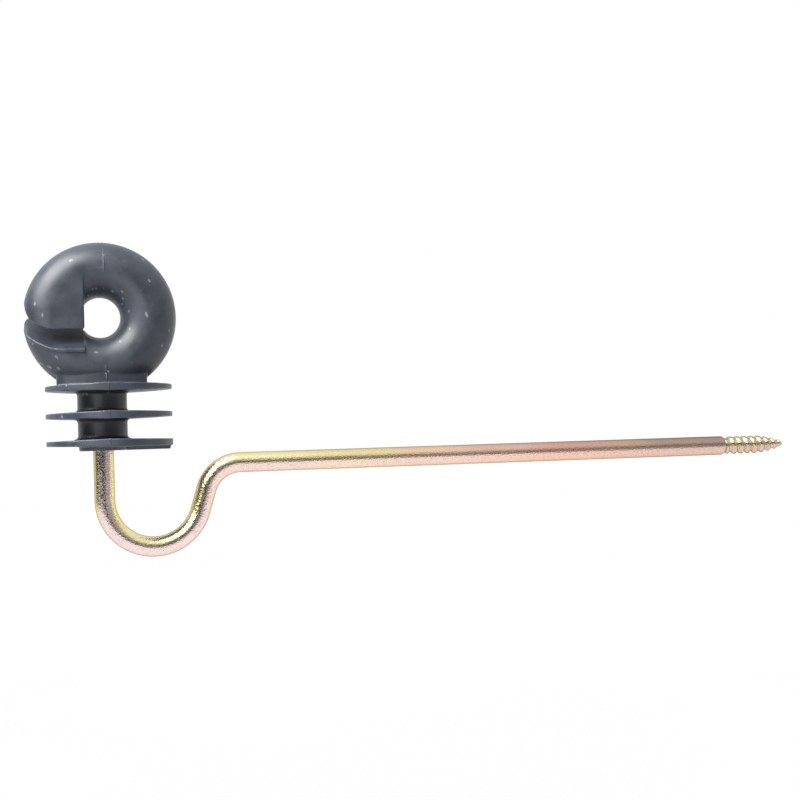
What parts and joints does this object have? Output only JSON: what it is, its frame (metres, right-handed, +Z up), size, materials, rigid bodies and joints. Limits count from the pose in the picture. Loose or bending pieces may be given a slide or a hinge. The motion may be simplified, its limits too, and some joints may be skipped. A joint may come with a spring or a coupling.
{
  "type": "fence insulator",
  "caption": "Offset electric-fence insulator: plastic ring with a slanted wire slot on a finned neck, moulded on a bent steel screw shank.",
  "frame": {"origin": "on the shank's axis where the thread begins, which is where the shank enters the post", "axes": "+X along the shank into the post, +Z up along the head's axis, Y along the fence wire through the ring; the flat cheek beside the slot's lower opening faces -Y"},
  "size_m": [0.2404, 0.0368, 0.0933],
  "materials": {
    "moulded_plastic": "dark blue-grey moulded polyolefin with a soft sheen",
    "zinc_steel": "zinc plated with a yellow iridescent passivation"
  },
  "bodies": {
    "root": {"insulator_head": "moulded_plastic", "screw_shank": "zinc_steel"}
  },
  "joints": []
}
